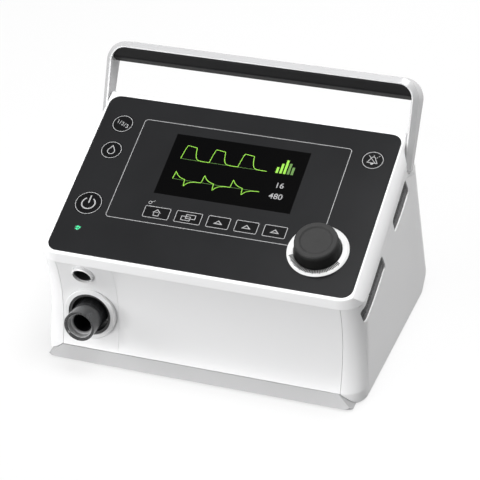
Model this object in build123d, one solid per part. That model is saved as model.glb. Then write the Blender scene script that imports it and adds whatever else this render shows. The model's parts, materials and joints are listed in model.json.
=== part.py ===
"""Home ventilator with a sloped key panel, a push dial, a breathing outlet and a swing handle.

Millimetres, +Z up, +X to the right of someone facing the panel, the panel's low edge at the front (-Y).
The housing stands on Z = 0. Panel pieces are placed by (u, v, w): u across, v up the slope from the
glass's front edge, w out of the glass.
"""

import os
from math import atan, atan2, cos, degrees, hypot, pi, radians, sin, tan

from build123d import *

# Housing form
FLOOR_Z = 1.5  # underside of the housing, carried by the feet
SILL_Z = 9.5  # top of the front lip, foot of the front plate
BROW_Z = 78.2  # top of the front plate, foot of the panel frame at the front
CROWN_Z = 145.0  # above everything, where the tapering walls are cut
FRONT_Y = -75.7
BROW_Y = -77.0  # the panel frame overhangs the front plate
BROW_BEVEL = 0.6
SCOOP = 6.4  # depth of the hollow front
REAR_Y = 99.5  # at Z = 0
REAR_LEAN = 0.18  # the back leans forward this much per millimetre of height
FRONT_HALF = (115.9, 112.4)  # half width at the front, at Z = 0 and at CROWN_Z
REAR_HALF = (121.0, 112.2)
FRONT_R = 15.0
REAR_R = 20.0
WALL = 2.4
SEAM = 0.25  # visible joint between housing pieces
PLATE_SEAM = 0.12  # closer joint between the two front plates
LIP_Y, LIP_TOP_Y = -81.6, -76.7  # front of the lip at the floor and at its top
LIP_HALF, LIP_R = 113.5, 9.0
LIP_FALL = (100.5, 111.0)  # across: where the lip's ends leave the top and meet the floor
CREASE_Y = -59.5  # fine groove down the side behind the front corner
PLATE_HALF = 101.1  # the front plates end here, the side shells begin
PORT_SEAM_X = -59.5
REAR_COVER_HALF = 92.0

# Panel
SLOPE = 21.2
GLASS_FRONT = (0.0, -75.0, 87.0)
GLASS_W, GLASS_L, GLASS_T, GLASS_R = 215.6, 139.2, 1.8, 8.0
GLASS_FIT = 0.15
RIM_REAR = 4.4
RIM_R = 1.2  # rounding of the frame's edge round the glass
CREST_R = 5.0  # rounding behind the glass
FRAME_DROP = 16.0  # the frame's sides reach this far below the glass
FRAME_TOP_HALF = 108.8
FRAME_SIDE_HALF = 114.6
LEDGE = 2.6  # under the glass
CARRIER_T = 1.6
BOARD_W = -14.0
BOARD_T = 1.6
DISPLAY = (98.2, 53.3, 4.0)
DISPLAY_V = 86.2

# Keys: (u, v, radius) and (u, width)
ROUND_KEYS = {
    "key_menu": (-91.4, 114.7, 8.0),
    "key_humidifier": (-91.4, 90.4, 8.0),
    "key_power": (-91.4, 42.6, 10.1),
    "key_alarm_mute": (92.3, 114.7, 8.0),
}
SOFT_KEYS = {
    "soft_key_1": (-41.4, 19.1),
    "soft_key_2": (-18.4, 19.1),
    "soft_key_3": (3.2, 16.4),
    "soft_key_4": (23.3, 16.4),
    "soft_key_5": (43.4, 16.4),
}
SOFT_KEY_V, SOFT_KEY_L, SOFT_KEY_R = 43.5, 10.1, 1.2
KEY_GAP = 0.15
KEY_FLANGE = 0.8
KEY_TRAVEL = 0.5
SWITCH_H = 5.0
LED_UV, LED_R = (-91.6, 20.9), 2.4
STANDOFFS = [(-78, 30), (-78, 102), (0, 24), (0, 124), (84, 62), (78, 125)]

# Dial
DIAL_UV = (76.4, 33.6)
DIAL_H = 12.4
DIAL_BASE_R, DIAL_TOP_R, DIAL_DISH_R = 16.0, 14.7, 11.4
DIAL_LIFT = 0.9  # knob's lower edge above the glass
RING_R, RING_BORE, RING_H = 21.0, 16.4, 1.4
SHAFT_R = 3.0
RUNNING = 0.05  # radial play of turning fits

# Ports: distances along their axes start near the front plate's face and grow inwards
OUTLET_AT, OUTLET_TILT = (-79.8, -73.5, 36.45), 6.5  # the outlet points slightly upwards
CONE_TIP, CONE_END = -17.9, 25.0
CONE_R, CONE_BORE = 11.0, 9.1  # 22 mm breathing cone
LINER_BORE = 6.8
COLLAR_R, COLLAR_BORE, COLLAR_END = 18.9, 15.6, 10.3
CUP_BORE, CUP_END = 13.6, 19.8
HOSE_XZ = (-79.8, 33.8)  # the cone's axis where the hose meets it
SENSOR_AT, SENSOR_TILT = (-82.2, -75.2, 68.5), -20.0  # the small socket points down
SENSOR_R, SENSOR_BORE, SENSOR_END = 7.6, 6.65, 8.0
CORE_BORE = 5.7

# Swing handle
LEAN = 27.0
PIVOT = (52.1, 121.5)  # Y, Z
FOOT_REACH = 8.4  # the legs end this far past the pivot
LEG_HALF = (5.5, 9.3)  # half the legs' depth at the pivot and at the top bar
BAIL_INNER = 110.6
BAIL_T = 4.6
BAIL_BEVEL = 3.4
BAIL_REACH = 50.4  # pivot to the inside of the top bar
BAIL_CORNER = 14.5
BLANK_DEPTH = 24.0  # the handle's blank, before its faces are cut
GRIP_DROP = 10.5  # how far the soft wedge hangs below the bar's rear edge
POCKET_R = 10.2
POCKET_SIDE = 0.3
STUB_R = 4.0
BOSS_X = 99.5  # inner end of the bosses the stubs turn in

# Inside
BLOWER_XY, BLOWER_R = (-47.0, 22.0), 36.0
BLOWER_Z = (13.0, 47.0)
NOZZLE_X, NOZZLE_END_Y, NOZZLE_R = -70.0, -19.0, 10.0
BATTERY = (78.0, 60.0, 38.0)
BATTERY_AT = (52.0, -34.0)
SUPPLY = (78.0, 46.0, 34.0)
SUPPLY_AT = (51.0, 36.0)
INLET_XZ = (64.0, 38.0)
FILTER_XZ = (-40.0, 66.0)
FILTER_SIZE = (64.0, 44.0)
DOOR_Y = REAR_Y - REAR_LEAN * FILTER_XZ[1] - 1.7  # middle of the filter door
FEET_XY = [(-92, -56), (92, -56), (-92, 54), (92, 54)]
SCREW_XY = [(-103, -40), (103, -40), (-105, 36), (105, 36)]

SLOPE_SIN, SLOPE_COS = sin(radians(SLOPE)), cos(radians(SLOPE))
PANEL = Plane(origin=GLASS_FRONT, x_dir=(1, 0, 0), z_dir=(0, -SLOPE_SIN, SLOPE_COS))
BAIL = Plane(
    origin=(0, *PIVOT),
    x_dir=(1, 0, 0),
    z_dir=(0, -cos(radians(LEAN)), sin(radians(LEAN))),
)


REAR_TURN = Rot(X=degrees(atan(REAR_LEAN)))  # follows the leaning back


def port_plane(middle, tilt):
    """Plane across a port, its Z into the housing; tilt raises the port's mouth."""
    inwards = (0, cos(radians(tilt)), -sin(radians(tilt)))
    return Plane(origin=middle, x_dir=(1, 0, 0), z_dir=inwards)


OUTLET = port_plane(OUTLET_AT, OUTLET_TILT)
SENSOR = port_plane(SENSOR_AT, SENSOR_TILT)


def at_panel(u, v, w=0.0):
    """Location on the panel, its Z out of the glass."""
    return PANEL * Pos(u, v, w)


def along_x(points, x0, x1, radius=0.0, rounded=()):
    """Prism from x0 to x1 over an outline of (y, z) points, with some corners rounded."""
    face = Sketch() + make_face(Polyline(*points, close=True))
    if radius:
        picked = [face.vertices().sort_by_distance((*points[i], 0))[0] for i in rounded]
        face = fillet(picked, radius)
    return extrude(Plane.YZ.offset(x0) * face, x1 - x0)


def turned(profile, location):
    """Solid of revolution: profile is (radius, height) points, spun round the location's Z."""
    face = make_face(Polyline(*profile, close=True))
    return location * revolve(Plane.XZ * face, Axis.Z)


def tube(outer, inner, start, end, port):
    """Pipe square to a port's plane, between two distances along its axis."""
    ring = Circle(outer) - Circle(inner) if inner else Circle(outer)
    return extrude(port.offset(start) * ring, end - start)


def glass_z(y, below=0.0):
    """Height of the glass plane at y, or of a plane that far under it."""
    return GLASS_FRONT[2] + (y - GLASS_FRONT[1]) * tan(radians(SLOPE)) - below / SLOPE_COS


# Housing form


def outline(z, front_y, inset):
    """Plan of the housing at one height: wider at the back, all four corners round."""
    up = z / CROWN_Z
    front = FRONT_HALF[0] + (FRONT_HALF[1] - FRONT_HALF[0]) * up - inset
    rear = REAR_HALF[0] + (REAR_HALF[1] - REAR_HALF[0]) * up - inset
    front_y += inset
    rear_y = REAR_Y - REAR_LEAN * z - inset
    corners = [(-front, front_y), (front, front_y), (rear, rear_y), (-rear, rear_y)]
    face = Sketch() + make_face(Polyline(*corners, close=True))
    face = fillet(face.vertices().sort_by(Axis.Y)[:2], FRONT_R - inset)
    face = fillet(face.vertices().sort_by(Axis.Y)[-2:], REAR_R - inset)
    return Pos(0, 0, z) * face


def scoop_y(z):
    """Y of the hollow front at a height between the lip and the panel frame."""
    middle, half = (SILL_Z + BROW_Z) / 2, (BROW_Z - SILL_Z) / 2
    return FRONT_Y + SCOOP * (1 - ((z - middle) / half) ** 2)


def trim(inset, top):
    """Side view that cuts the tapering walls: sloped top, steep step at the back, rising underside."""
    low = FLOOR_Z if inset == 0 else -20.0
    side, rise = 0.6 * inset, 0.8 * inset
    peak_y = GLASS_FRONT[1] + (RIM_REAR + GLASS_L) * SLOPE_COS - inset
    points = [
        (-95, low),
        (68 - side, low),
        (68 - side, FLOOR_Z + rise),
        (110 - side, FLOOR_Z + 33 + rise),
        (112, 115),
        (peak_y + 14, glass_z(peak_y, top) - 17),
        (peak_y, glass_z(peak_y, top)),
        (-95, glass_z(-95, top)),
    ]
    if inset == 0:
        points.pop(2)
    return along_x(points, -140, 140, max(CREST_R - inset, 1.0), (-2,))


def form(inset=0.0, top=0.0):
    """The housing as a solid block, inset on all sides; the top is lowered separately."""
    low = 0.0 if inset == 0 else -4.0
    foot = loft([outline(low, FRONT_Y, inset), outline(SILL_Z, FRONT_Y, inset)], ruled=True)
    rows = [SILL_Z + (BROW_Z - SILL_Z) * i / 4 for i in range(5)]
    belly = loft([outline(z, scoop_y(z), inset) for z in rows])
    crown = loft([outline(BROW_Z, FRONT_Y, inset), outline(CROWN_Z, FRONT_Y, inset)], ruled=True)
    return (foot + belly + crown) & trim(inset, top)


def seam_line(drop=0.0):
    """Joint between side shells and panel frame in the side view, front to back."""
    shift = FRAME_DROP + drop
    return [
        (-100, BROW_Z - drop),
        (-53.4, BROW_Z - drop),
        (39, glass_z(39, shift)),
        (50, 109.6 - drop),
        (64, 104.5 - drop),
        (130, 98 - drop),
    ]


def above_seam():
    """Everything over the joint."""
    return along_x(seam_line() + [(130, 200), (-100, 200)], -140, 140, 10, (2,))


def below_seam(drop=SEAM):
    """Everything under the joint, less a gap."""
    return along_x(seam_line(drop) + [(130, -50), (-100, -50)], -140, 140, 10, (2,))


OUTER = form()
INNER = form(WALL, WALL)
SHELL = OUTER - INNER


def handle_pocket(grow=0.0):
    """Room beside the housing for one handle foot, open upwards and to the back for the swing."""
    reach = POCKET_R + grow
    y, z = PIVOT
    lean = radians(LEAN)
    front = (y - reach * cos(lean), z + reach * sin(lean))
    corners = [
        (y, z),
        front,
        (front[0] + 70 * sin(lean), front[1] + 70 * cos(lean)),
        (y + 80, z + 70),
        (y + 80, z - reach),
        (y, z - reach),
    ]
    inner_x = BAIL_INNER - POCKET_SIDE - grow
    wedge = along_x(corners, inner_x, 140)
    disc = extrude(Plane.YZ.offset(inner_x) * Pos(y, z) * Circle(reach), 140 - inner_x)
    return wedge + disc


def both_sides(right):
    """A right-hand shape and its mirror image."""
    return right + mirror(right, Plane.YZ)


# Outer pieces


def lip(gap=0.0):
    """Bevelled step under the front plate; its ends fall straight to the floor."""
    top = SILL_Z - 0.1 + gap
    floor = -9.0 if gap else FLOOR_Z
    side = [(-68, floor), (LIP_Y - gap, floor), (LIP_TOP_Y - gap, top), (-68, top)]
    out = 1.6 * gap
    high, low = LIP_FALL[0] + out, LIP_FALL[1] + out
    front = [(-high, top), (-low, FLOOR_Z), (-low, -9), (low, -9), (low, FLOOR_Z), (high, top)]
    ends = extrude(Plane.XZ.offset(60) * make_face(Polyline(*front, close=True)), 30)
    plan = Pos(0, LIP_Y + 50) * RectangleRounded(2 * (LIP_HALF + gap), 100 + 2 * gap, LIP_R)
    return along_x(side, -118, 118) & ends & Pos(0, 0, -10) * extrude(plan, 30)


def base_tray():
    """Floor of the housing with the front lip, stiffening ribs and seats for feet and blower."""
    plate = form(WALL + 0.2, WALL) & Pos(0, 0, FLOOR_Z + 1.2) * Box(260, 300, 2.4)
    plate &= along_x([(-90, -5), (70, -5), (66, 10), (-90, 10)], -140, 140)
    tray = plate + lip()
    for x in (-12, 7, 97):
        tray += Pos(x, -2, 6) * Box(1.6, 104, 5)
    for x, y in FEET_XY:
        tray -= Pos(x, y, FLOOR_Z) * Cylinder(7.2, 2.4)
    for x, y in SCREW_XY:
        tray -= Pos(x, y, 2) * Cylinder(1.7, 10)
        tray -= Pos(x, y, FLOOR_Z + 0.45) * Cone(3.9, 1.75, 1.9)
    for x, y in blower_mount_xy():
        tray += Pos(x, y, 4.6) * Cylinder(4, 2)
    for i in range(6):
        tray -= Pos(-42, -52 + i * 5, 2) * Box(36, 2, 12)
    return tray


def vent_outline(y0, y1, shrink=0.0):
    """Side opening under the frame: straight top along the joint, bowed lower edge, slanted ends."""
    drop = FRAME_DROP + 0.2
    top_a = (y0, glass_z(y0, drop))
    top_b = (y1, glass_z(y1, drop))
    low_a = (y0 + 5, top_a[1] - 11.8)
    low_b = (y1 + 7.5, top_b[1] - 13.5)
    mid = ((low_a[0] + low_b[0]) / 2, (low_a[1] + low_b[1]) / 2 - 1.6)
    edges = [Line(low_b, top_b), Line(top_b, top_a), Line(top_a, low_a), ThreePointArc(low_a, mid, low_b)]
    face = Sketch() + make_face(Wire(edges))
    face = fillet(face.vertices(), 2.6)
    if shrink:
        face = offset(face, -shrink)
    return face


VENTS = {"front": (-67.0, -22.9), "rear": (4.0, 37.6)}


def vent_cut(shrink=0.0):
    """Both openings of the right side, cut outwards from inside the wall."""
    cuts = [extrude(Plane.YZ.offset(100) * vent_outline(*span, shrink), 30) for span in VENTS.values()]
    return cuts[0] + cuts[1]


def side_shell():
    """Right side of the housing: wall, round front and back corners, groove, screw tabs."""
    front, back = [(PLATE_HALF, 0), (PLATE_HALF, -120)], [(REAR_COVER_HALF, 120), (REAR_COVER_HALF, 0)]
    plan = [*front, (140, -120), (140, 120), *back]
    region = extrude(Pos(0, 0, -10) * make_face(Polyline(*plan, close=True)), 200)
    part = SHELL & region & below_seam()
    for x, y in SCREW_XY:
        if x > 0:
            part += (Pos(x + 4, y, 7.2) * Box(18, 12, 6)) & OUTER
            part -= Pos(x, y, 7) * Cylinder(1.25, 12)
    part -= lip(SEAM)
    part -= handle_pocket()
    part -= vent_cut()
    groove = (OUTER - form(0.3)) & Pos(120, CREASE_Y, 27) * Box(40, 0.4, 54)
    notch = Pos(120, CREASE_Y, FLOOR_Z) * Box(40, 1.6, 2.4)
    return part - groove - notch


def vent_grille(span):
    """Dark louvre set a little behind the side wall's face."""
    block = extrude(Plane.YZ.offset(100) * vent_outline(*span, 0.15), 30)
    part = block & (form(0.9, WALL) - form(WALL - 0.05, WALL))
    for i in range(-2, 16):
        y = span[0] + i * 3.4
        z = glass_z(y, FRAME_DROP) - 6
        bar = Pos(112, y, z) * Rot(X=-28) * Box(14, 1.3, 9.5)
        part -= bar & extrude(Plane.YZ.offset(100) * vent_outline(*span, 1.5), 30)
    return part


def front_pieces():
    """The hollow front as two plates: the narrow one carries the ports."""
    tall = BROW_Z - SEAM - SILL_Z
    band = SHELL & Pos(0, -60, SILL_Z + tall / 2) * Box(400, 40, tall)
    end = PLATE_HALF - SEAM
    plate = band & across(PORT_SEAM_X + PLATE_SEAM / 2, end)
    port = band & across(-end, PORT_SEAM_X - PLATE_SEAM / 2)
    port -= tube(COLLAR_R + 0.1, 0, -25, 20, OUTLET)
    port -= tube(SENSOR_R + 0.1, 0, -15, 15, SENSOR)
    for x in (-40, 20, 80):
        plate += (Pos(x, -69, 43) * Box(1.6, 8, 56)) & INNER
    return plate, port


def across(x0, x1):
    """Block between two distances across the housing."""
    return Pos((x0 + x1) / 2, 0, 0) * Box(x1 - x0, 400, 400)


def roof():
    """Cross-section of the panel frame run up the slope: its long sides curve in to the glass."""
    plane = Plane(origin=GLASS_FRONT, x_dir=(-1, 0, 0), z_dir=(0, SLOPE_COS, SLOPE_SIN))
    drop, top, side = -FRAME_DROP, FRAME_TOP_HALF, FRAME_SIDE_HALF
    bow = [
        Line((0, 0.0), (top, 0.0)),
        ThreePointArc((top, 0.0), (top + (side - top) * 0.68, drop * 0.42), (side, drop)),
        Line((side, drop), (side, -150)),
        Line((side, -150), (0, -150)),
        Line((0, -150), (0, 0.0)),
    ]
    half = extrude(plane.offset(-60) * make_face(Wire(bow)), 260)
    return both_sides(half)


def panel_rect(w, l, r, thick, top, v=GLASS_L / 2, u=0.0):
    """Rounded plate on the panel, its upper face at height top."""
    return at_panel(u, v, top - thick) * extrude(RectangleRounded(w, l, r), thick)


def pivot_bore(radius):
    """Bores for both handle stubs."""
    axle = Plane.YZ.offset(-140) * Pos(*PIVOT) * Circle(radius)
    return extrude(axle, 280)


def panel_frame():
    """Upper shell: brow, curved sides, glass ledge, handle pockets and the tongue that holds the sides."""
    plans = [
        outline(BROW_Z, BROW_Y, BROW_BEVEL),
        outline(BROW_Z + BROW_BEVEL, BROW_Y, 0),
        outline(CROWN_Z, BROW_Y, 0),
    ]
    block = loft(plans, ruled=True) & trim(0, 0) & roof() & above_seam()
    rim = block.edges().filter_by(lambda edge: abs(PANEL.to_local_coords(edge.center()).Z) < 0.05)
    block = fillet(rim, RIM_R)
    cavity = form(WALL, GLASS_T + LEDGE)
    part = block - cavity
    pocket = both_sides(handle_pocket())
    part += both_sides(handle_pocket(WALL)) & block
    part -= panel_rect(GLASS_W + 2 * GLASS_FIT, GLASS_L + 2 * GLASS_FIT, GLASS_R, 30, 30 - GLASS_T)
    part -= panel_rect(GLASS_W - 9.4, GLASS_L - 12, 5, 8, 0.5)
    part -= pocket
    boss = Plane.YZ.offset(BOSS_X) * Pos(*PIVOT) * Circle(STUB_R + 3.2)
    part += both_sides(extrude(boss, BAIL_INNER - POCKET_SIDE - BOSS_X))
    part -= pivot_bore(STUB_R + RUNNING)
    tongue = (form(WALL + 0.15, WALL + 6) - form(WALL + 1.5, WALL + 8)) & below_seam(-1.0)
    tongue -= below_seam(4.0)
    tongue -= tube(SENSOR_R + 2.0, 0, -15, 20, SENSOR)
    part += tongue - both_sides(handle_pocket(WALL))
    return part


def rear_cover():
    """Back wall between the side shells: filter bay, mains inlet opening and cooling slots."""
    part = SHELL & Pos(0, 87.5, 60) * Box(2 * (REAR_COVER_HALF - SEAM), 55, 120) & below_seam()
    fx, fz = FILTER_XZ
    w, h = FILTER_SIZE
    bay = Pos(fx, DOOR_Y - 11, fz) * Box(w + 4, 40, h + 4)
    part += bay & (form(WALL / 2, WALL) - form(11.5, WALL + 8))
    part -= Pos(fx, DOOR_Y, fz) * REAR_TURN * Pos(0, 12.4, 0) * Box(w + 0.4, 38, h + 0.4)
    part -= Pos(fx, DOOR_Y - 13, fz) * Box(w - 8, 60, h - 8)
    part -= at_inlet() * Box(28.2, 30, 20.8)
    for i in range(7):
        part -= Pos(20 + i * 9, 83, 88) * Box(3, 30, 18)
    return part


def at_inlet():
    """Location of the mains inlet on the back's outer face."""
    x, z = INLET_XZ
    return Pos(x, REAR_Y - REAR_LEAN * z, z) * REAR_TURN


# Panel pieces


def key_blank(name, grow=0.0):
    """Outline of one key on the panel."""
    if name in ROUND_KEYS:
        u, v, r = ROUND_KEYS[name]
        return Pos(u, v) * Circle(r + grow)
    u, width = SOFT_KEYS[name]
    return Pos(u, SOFT_KEY_V) * RectangleRounded(
        width + 2 * grow, SOFT_KEY_L + 2 * grow, max(SOFT_KEY_R + grow, 0.4)
    )


def panel_slab(sketch, top, thick):
    """Sketch in panel coordinates as a plate whose upper face is at height top."""
    return extrude(PANEL.offset(top - thick) * sketch, thick)


KEYS = [*ROUND_KEYS, *SOFT_KEYS]


def glass():
    """Dark cover glass, pierced for keys, dial and mains light."""
    part = panel_rect(GLASS_W, GLASS_L, GLASS_R, GLASS_T, 0)
    for name in KEYS:
        part -= panel_slab(key_blank(name), 5, 10)
    part -= at_panel(*DIAL_UV) * Cylinder(RING_BORE + 0.75, 10)
    part -= at_panel(*LED_UV) * Cylinder(LED_R, 10)
    upper = max(part.faces(), key=lambda face: PANEL.to_local_coords(face.center()).Z)
    return chamfer(upper.outer_wire().edges(), 0.3)


def key_cap(name):
    """Key flush with the glass, held under it by a flange, with a stem towards its switch."""
    part = panel_slab(key_blank(name, -KEY_GAP), 0, GLASS_T)
    part += panel_slab(key_blank(name, KEY_FLANGE), -GLASS_T - 0.1, 0.9)
    part += panel_slab(key_blank(name, -KEY_GAP), -GLASS_T, 0.2)
    u, v = key_centre(name)
    stem_top = -GLASS_T - 0.9
    stem_low = BOARD_W + SWITCH_H + KEY_TRAVEL + 0.25
    part += at_panel(u, v, (stem_top + stem_low) / 2) * Cylinder(2.0, stem_top - stem_low)
    return part


def key_centre(name):
    """Panel position of a key."""
    if name in ROUND_KEYS:
        return ROUND_KEYS[name][:2]
    return SOFT_KEYS[name][0], SOFT_KEY_V


def key_carrier():
    """Plate behind the glass that frames the keys and the display and carries the board."""
    part = panel_rect(GLASS_W - 13, GLASS_L - 13, 5, CARRIER_T, -GLASS_T)
    for name in KEYS:
        part -= panel_slab(key_blank(name, KEY_FLANGE + 0.25), 5, 20)
    part -= at_panel(*DIAL_UV) * Cylinder(RING_BORE - 2.5, 20)
    part -= at_panel(*LED_UV) * Cylinder(LED_R + 0.2, 20)
    part -= panel_rect(DISPLAY[0] + 3.4, DISPLAY[1] + 3.4, 1, 20, 5, DISPLAY_V)
    low, top = BOARD_W, -GLASS_T - CARRIER_T
    for u, v in STANDOFFS:
        part += at_panel(u, v, (low + top) / 2) * Cylinder(2.6, top - low)
    return part


def display_module():
    """Screen unit in the carrier's window."""
    part = panel_rect(DISPLAY[0] + 3, DISPLAY[1] + 3, 1, DISPLAY[2], -GLASS_T, DISPLAY_V)
    step = panel_rect(DISPLAY[0] - 10, DISPLAY[1] - 10, 1, 1.2, -GLASS_T - DISPLAY[2], DISPLAY_V)
    return part + step


def main_board():
    """Circuit board under the panel with key switches, processor and connectors."""
    part = panel_rect(188, 112, 3, BOARD_T, BOARD_W, 74)
    for name in KEYS:
        u, v = key_centre(name)
        part += at_panel(u, v, BOARD_W + 1.7) * Box(6, 6, 3.4)
        part += at_panel(u, v, BOARD_W + SWITCH_H / 2) * Cylinder(1.7, SWITCH_H)
    for u, v, w, l, h in ((0, 96, 16, 16, 2), (-30, 88, 12, 9, 1.6), (34, 100, 10, 14, 2)):
        part += at_panel(u, v, BOARD_W + h / 2) * Box(w, l, h)
    part -= at_panel(*DIAL_UV, BOARD_W) * Cylinder(4.2, 8)
    return part


def dial_knob():
    """Knob with tapering side, dished top and a bored hub."""
    low, top = DIAL_LIFT, DIAL_H
    skin = [
        (SHAFT_R, top - 3.4),
        (0, top - 3.4),
        (0, top - 1.1),
        (DIAL_DISH_R - 1.2, top - 0.9),
        (DIAL_DISH_R, top - 0.1),
        (DIAL_TOP_R - 0.7, top),
        (DIAL_TOP_R, top - 0.7),
        (DIAL_BASE_R - 0.15, low + 1.6),
        (DIAL_BASE_R, low + 0.3),
        (DIAL_BASE_R - 0.3, low),
        (DIAL_BASE_R - 2.2, low),
        (DIAL_TOP_R - 2.4, top - 3.2),
        (SHAFT_R + 2.6, top - 3.4),
        (SHAFT_R + 2.4, low + 0.4),
        (SHAFT_R, low + 0.4),
    ]
    return turned(skin, at_panel(*DIAL_UV))


def dial_ring():
    """Bevelled ring round the knob, seated on the glass."""
    skin = [
        (RING_BORE, -GLASS_T),
        (RING_BORE, RING_H - 0.3),
        (RING_BORE + 0.3, RING_H),
        (RING_R - 1.4, RING_H),
        (RING_R, 0.3),
        (RING_R, 0.02),
        (RING_BORE + 0.7, 0.02),
        (RING_BORE + 0.7, -GLASS_T),
    ]
    return turned(skin, at_panel(*DIAL_UV))


def dial_shaft():
    """Steel spindle pressed into the knob's hub."""
    top, low = DIAL_H - 3.4, BOARD_W - 1.0
    return at_panel(*DIAL_UV, (top + low) / 2) * Cylinder(SHAFT_R, top - low)


def dial_sleeve():
    """Sliding sleeve of the encoder: pushed by the knob, it does not turn."""
    low, top = BOARD_W + 3.6, DIAL_LIFT
    ring = Circle(SHAFT_R + 1.3) - Circle(SHAFT_R + RUNNING)
    return panel_slab(Pos(*DIAL_UV) * ring, top, top - low)


def encoder_body():
    """Encoder case on the board, guiding the sleeve."""
    low, top = BOARD_W + 0.02, BOARD_W + 8.6
    part = at_panel(*DIAL_UV, (low + top) / 2) * Box(14, 14, top - low)
    part += at_panel(*DIAL_UV, top + 1.2) * Cylinder(6, 2.4)
    part -= at_panel(*DIAL_UV, top - 1.0) * Cylinder(SHAFT_R + 1.3 + RUNNING, 14)
    part -= at_panel(*DIAL_UV, low) * Cylinder(SHAFT_R + 0.4, 8)
    return part


def mains_light():
    """Light pipe from the board to the glass."""
    low = BOARD_W + 0.02
    part = at_panel(*LED_UV, low / 2) * Cylinder(LED_R - 0.1, -low)
    return part


# Ports


def outlet_collar():
    """White ring standing out of the hollow front round the outlet."""
    part = tube(COLLAR_R, COLLAR_BORE, 0, COLLAR_END, OUTLET)
    part = chamfer(part.faces().sort_by(Axis.Y)[0].outer_wire().edges(), 0.7)
    flange = tube(COLLAR_R + 2.4, COLLAR_BORE, 3, COLLAR_END, OUTLET)
    return part + (flange & form(WALL + 0.1, WALL))


def outlet_cup():
    """Dark recess behind the collar that holds the cone."""
    part = tube(COLLAR_BORE - 0.1, CUP_BORE, 1, CUP_END, OUTLET)
    part += tube(COLLAR_BORE - 0.1, CONE_R + 0.02, CUP_END - 2.6, CUP_END, OUTLET)
    return part + tube(COLLAR_BORE + 3, CUP_BORE, COLLAR_END + 0.1, COLLAR_END + 3.5, OUTLET)


def outlet_cone():
    """22 mm cone for the breathing hose, with a stop flange and a tail square to the hose inside."""
    part = tube(CONE_R, 0, CONE_TIP, CONE_END, OUTLET)
    part += tube(CUP_BORE - 0.1, 0, CUP_END - 5, CUP_END - 2.7, OUTLET)
    tail = port_plane((HOSE_XZ[0], -50.5, HOSE_XZ[1]), 0)
    part += tube(NOZZLE_R + 2, 0, 0, 3.5, tail)
    part -= tube(CONE_BORE, 0, CONE_TIP - 1, CONE_END + 4, OUTLET)
    return chamfer(part.faces().sort_by(Axis.Y)[0].inner_wires()[0].edges(), 0.6)


def outlet_liner():
    """Light sleeve in the cone's mouth that narrows to the air bore."""
    outer = CONE_BORE - 0.05
    skin = [(outer, 1.2), (8.7, 1.2), (8.5, 5.2), (LINER_BORE, 6.2), (LINER_BORE, 20), (outer, 20)]
    return turned(skin, OUTLET.offset(CONE_TIP).location)


def sensor_port():
    """Small round socket above the outlet."""
    part = tube(SENSOR_R, SENSOR_BORE, 0, SENSOR_END, SENSOR)
    part = chamfer(part.faces().sort_by(Axis.Y)[0].outer_wire().edges(), 0.5)
    flange = tube(SENSOR_R + 1.6, SENSOR_BORE, 3, SENSOR_END, SENSOR) & form(WALL + 0.1, WALL)
    return part + (flange & Pos(0, 0, BROW_Z - 50.4) * Box(400, 200, 100))


def sensor_core():
    """Black insert of the small socket, closed at its back but for a narrow bore."""
    outer = SENSOR_BORE - 0.05
    skin = [(outer, 1.8), (CORE_BORE, 1.8), (CORE_BORE, 12), (1.2, 12), (1.2, 15), (outer, 15)]
    return turned(skin, SENSOR.location)


# Handle


def bail_outline(half, top, corner):
    """Inverted U in the handle's own plane, from the feet's ends to the top."""
    foot = -FOOT_REACH
    corners = [(-half, foot), (half, foot), (half, top), (-half, top)]
    face = Sketch() + make_face(Polyline(*corners, close=True))
    return fillet(face.vertices().sort_by(Axis.Y)[-2:], corner)


def bail_slab(sketch):
    """Sketch in the handle's plane, thickened to the handle's blank."""
    return extrude(BAIL.offset(-BLANK_DEPTH / 2) * sketch, BLANK_DEPTH)


def side_view(depth, reach):
    """(y, z) of a point in the handle's side view: depth to the front, reach up the legs."""
    lean = radians(LEAN)
    y = PIVOT[0] - depth * cos(lean) + reach * sin(lean)
    z = PIVOT[1] + depth * sin(lean) + reach * cos(lean)
    return y, z


def leg_half(reach):
    """Half the depth of the legs, which widen upwards."""
    return LEG_HALF[0] + (LEG_HALF[1] - LEG_HALF[0]) * reach / BAIL_REACH


def handle_bail():
    """Swing handle: legs that widen upwards from rounded feet, broad bevel round the front."""
    outer = bail_outline(BAIL_INNER + BAIL_T, BAIL_REACH + BAIL_T - 0.4, BAIL_CORNER)
    inner = bail_outline(BAIL_INNER, BAIL_REACH, BAIL_CORNER - BAIL_T)
    ends = [(1, 70), (-1, 70), (-1, -FOOT_REACH), (1, -FOOT_REACH)]
    faces = [side_view(side * leg_half(reach), reach) for side, reach in ends]
    part = bail_slab(outer - inner) & along_x(faces, -140, 140)
    part = chamfer(part.edges().filter_by(is_front_rim), BAIL_BEVEL)
    return part & along_x(faces, -140, 140, 3.5, (2, 3))


def is_front_rim(edge):
    """True for edges between the handle's front face and its outside."""
    point = BAIL.to_local_coords(edge.center())
    in_front = abs(point.Z - leg_half(point.Y)) < 0.05 and point.Y > 1 - FOOT_REACH
    return in_front and (abs(point.X) > BAIL_INNER + 1 or point.Y > BAIL_REACH + 1)


def handle_grip():
    """Soft wedge under the top bar, deeper at the back, following the bail's inner corners."""
    inside = bail_outline(BAIL_INNER - 0.02, BAIL_REACH - 0.02, BAIL_CORNER - BAIL_T)
    half = LEG_HALF[1] - 0.6
    wedge = [
        (-half, BAIL_REACH + 1),
        (half, BAIL_REACH + 1),
        (half, BAIL_REACH - 1.5),
        (half - 2.5, BAIL_REACH - 7.5),
        (-3, BAIL_REACH - GRIP_DROP),
        (1 - half, BAIL_REACH - GRIP_DROP),
    ]
    return bail_slab(inside) & along_x([side_view(*point) for point in wedge], -140, 140, 2.8, (3, 4, 5))


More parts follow.
